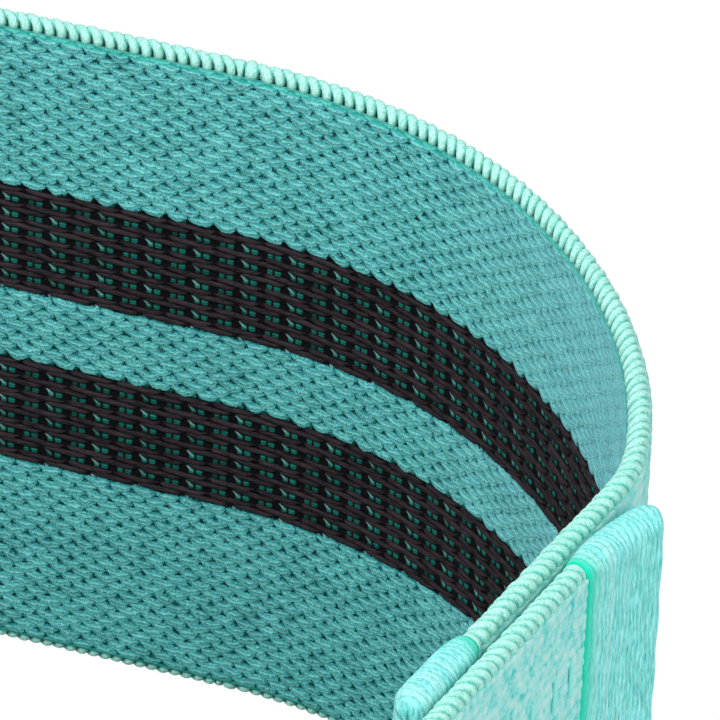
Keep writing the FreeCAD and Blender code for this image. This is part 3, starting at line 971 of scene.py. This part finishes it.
def sleeve_outline(proud_in, proud_out, top):
    """The outline of a sleeve at each ring, as (t, z), AROUND points evenly spaced by arc
    length: two flat faces and two round edges. proud_in and proud_out are how far it stands off
    the two faces, and top is its height."""
    half_t = (WEBBING + proud_in + proud_out)[:, None] / 2
    middle = WEBBING / 2 + (proud_out - proud_in)[:, None] / 2
    straight = top[:, None] - 2 * half_t
    total = 2 * straight + 2 * math.pi * half_t
    lap = np.arange(AROUND)[None] / AROUND * total
    lower = (lap - straight) / half_t
    upper = (lap - 2 * straight - math.pi * half_t) / half_t
    angle = np.clip(lower, 0, math.pi) + np.clip(upper, 0, math.pi)
    t = middle - half_t * np.cos(angle)
    falling = np.clip(lap, 0, straight)
    rising = np.clip(lap - straight - math.pi * half_t, 0, straight)
    z = top[:, None] - half_t - falling + rising - half_t * np.sin(angle)
    return t, z


# %% One overcast end
def overcast(start, end, cut_at_start):
    """A closed sleeve from start to end along the strip. It stands proud by PUFF on its free
    side, times (1 - y^4)^0.5 towards its rolled end, with y from 0 to 1. Within CUT_ROUND of
    the cut end it closes as a quarter circle does. A thread's ridge adds (1 - x^2)^0.5 across
    its own OVERCAST_THREAD."""
    if cut_at_start:
        start -= OVERCAST_CAP
    else:
        end += OVERCAST_CAP
    run = end - start
    threads = round(run / OVERCAST_THREAD)
    phase = (np.arange(threads)[:, None] + np.array([0.0, 0.12, 0.3, 0.5, 0.7, 0.88])).ravel()
    phase = np.append(phase, threads) / threads
    number = np.minimum(np.floor(phase * threads + 1e-6), threads - 1)
    x = 2 * (phase * threads - number) - 1
    from_cut = phase * run if cut_at_start else (1 - phase) * run
    y = np.clip(from_cut / run * 2 - 1, 0, 1)
    roll = np.sqrt(np.clip(1 - y ** 4, 0, 1))
    ridge = 0.13 * np.sqrt(np.clip(1 - x ** 2, 0, 1)) * (0.7 + 0.6 * chance(number, 61))
    free, pressed = (PUFF + ridge) * roll - 0.1 * y, PRESSED * roll - 0.1 * y
    closing = np.sqrt(np.clip(1 - np.clip(1 - from_cut / CUT_ROUND, 0, 1) ** 2, 0, 1))
    top = BAND + 0.35 * roll - CUT_DROP * (1 - closing)
    t, z = sleeve_outline(*((free, pressed) if cut_at_start else (pressed, free)), top)
    t = WEBBING / 2 + (t - WEBBING / 2) * closing[:, None]
    around = np.arange(AROUND)[None] / AROUND * GIRTH
    waver = 0.20 * np.sin(around * 0.9 + phase[:, None] * run * 1.3)
    s = (start + phase * run)[:, None] + waver * (1 - (2 * phase[:, None] - 1) ** 6)
    # edge is the mask for the painted shade where the sleeve rolls under.
    edge = y[:, None] ** 6 + 0 * t
    values = {"yarn": np.stack([s, around + 0 * t, t], -1)[None], "edge": edge[None],
              "ridge": (x[:, None] + 0 * t)[None],
              "shade": (chance(number, 71)[:, None] + 0 * t)[None]}
    return strip_point(s, t, z)[None], values


# %% The soft thread
def satin_thread(name):
    """Soft aqua thread: pale with a painted highlight on its ridges, and strongly coloured with
    painted shade where the sleeve rolls under.
    """
    tree = new_tree(name)
    place = attribute(tree, "yarn", vector=True)
    edge, ridge = attribute(tree, "edge"), attribute(tree, "ridge")
    shade = attribute(tree, "shade")
    fibres = noise(tree, stretched(tree, place, (5.0, 0.7, 2.0)), 1.0, 4.0)
    patches = noise(tree, place, 0.5, 2.0)
    # Painted highlight: each thread is paler on its ridge.
    crest = (1 - ridge.math("ABSOLUTE").math("POWER", 2.0)) * 0.6 + (fibres - 0.5) * 1.4 + 0.3
    base = mixed((crest + (patches - 0.5) * 0.9).clamped(), colour(88, 222, 214),
                 colour(160, 243, 240))
    base = mixed((shade - 0.6).clamped(), base, colour(198, 246, 246))
    base = mixed(1.0, base, (fibres - 0.5) * 1.3 + 1.0, "MULTIPLY")
    # Painted shade: saturated green where the sleeve rolls under.
    base = mixed((edge * 1.1).clamped(), base, colour(30, 220, 184))
    return cloth_material(name, base, crest, 0.8)


# %% Dress the two cut ends
SATIN = satin_thread("overcast_thread")
for name, start, end, cut in (("inner_end", 0.0, INNER_OVERCAST, True),
                              ("outer_end", LENGTH - OUTER_OVERCAST, LENGTH, False)):
    points, values = overcast(start, end, cut)
    piece = swept_mesh(f"{name}_stitches", points, values)
    seat(piece, "inner_tail", f"{name}_overcast", SATIN)


# %% [markdown]
# ## The seam through the lap
# Four rows of lockstitch hold the two plies together. The CAD threads already have the right
# shape, so they only get the finish of sewing thread.

# %% Finish the seam threads
SEAM = plain_yarn("seam_thread", colour(134, 228, 221), colour(168, 240, 234), (3, 3, 3))
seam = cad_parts["lap_seam_threads"]
seam.data.materials.clear()
seam.data.materials.append(SEAM)


# %% [markdown]
# ## The stage and the light
# The band stands on a plain white floor that runs on past the view. A soft lamp stands behind
# the viewer, high on the left, and a weaker one on the right. An even sky fills the shadows, so
# that each yarn shows its own colour.

# %% A floor that looks white
def white_floor():
    """A floor that looks white to the camera and still takes the band's shadow: a mid grey
    surface, mixed with a plain glow on the rays that the camera sees."""
    tree = new_tree("white_floor")
    shader = tree.nodes["Principled BSDF"]
    shader.inputs["Base Color"].default_value = (0.5, 0.5, 0.5, 1)
    shader.inputs["Roughness"].default_value = 0.9
    seen = shader_node(tree, "ShaderNodeLightPath", output=0)
    glow = shader_node(tree, "ShaderNodeEmission", {}, {"Color": (1, 1, 1, 1), "Strength": 1.04})
    out = tree.nodes["Material Output"]
    both = shader_node(tree, "ShaderNodeMixShader", {},
                       {0: seen * 0.95, 1: Wire(tree, shader.outputs[0]), 2: glow})
    tree.links.new(both.socket, out.inputs["Surface"])
    return bpy.data.materials[DRESSED + "white_floor"]


# %% Lay the floor and light the sky
floor_mesh = bpy.data.meshes.new("floor")
floor_mesh.from_pydata([(-6, -6, 0), (6, -6, 0), (6, 6, 0), (-6, 6, 0)], [], [(0, 1, 2, 3)])
floor_mesh.materials.append(white_floor())
floor = bpy.data.objects.new("floor", floor_mesh)
bpy.context.scene.collection.objects.link(floor)
floor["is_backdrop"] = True

world = bpy.data.worlds.new("sky")
world.use_nodes = True
world.node_tree.nodes["Background"].inputs["Color"].default_value = (0.95, 0.98, 1.0, 1)
world.node_tree.nodes["Background"].inputs["Strength"].default_value = 0.60
bpy.context.scene.world = world
print("floor", tuple(floor.dimensions), "sky", world.name)


# %% Two soft lamps
def lamp(name, place, aim, width, power):
    """A square soft lamp at a place, aimed at a point, both in metres."""
    data = bpy.data.lights.new(name, "AREA")
    data.size, data.energy = width, power
    made = bpy.data.objects.new(name, data)
    made.location = place
    made.rotation_euler = (Vector(aim) - Vector(place)).to_track_quat("-Z", "Y").to_euler()
    bpy.context.scene.collection.objects.link(made)
    print(name, "lamp of", power, "W at", place)


lamp("key", (-0.5, -0.7, 1.1), (0.05, 0.05, 0.03), 0.6, 14)
lamp("fill", (0.9, -0.5, 0.7), (0.05, 0.05, 0.03), 0.8, 5)
bpy.context.scene.view_settings.view_transform = "Standard"

# %% [markdown]
# ## Counting the triangles
# The triangles of every shown piece are counted and printed.

# %% Count the triangles
bpy.context.view_layer.update()
triangles = sum(len(p.vertices) - 2 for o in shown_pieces() if o.type == "MESH"
                for p in o.data.polygons)
print("triangles in all", triangles)
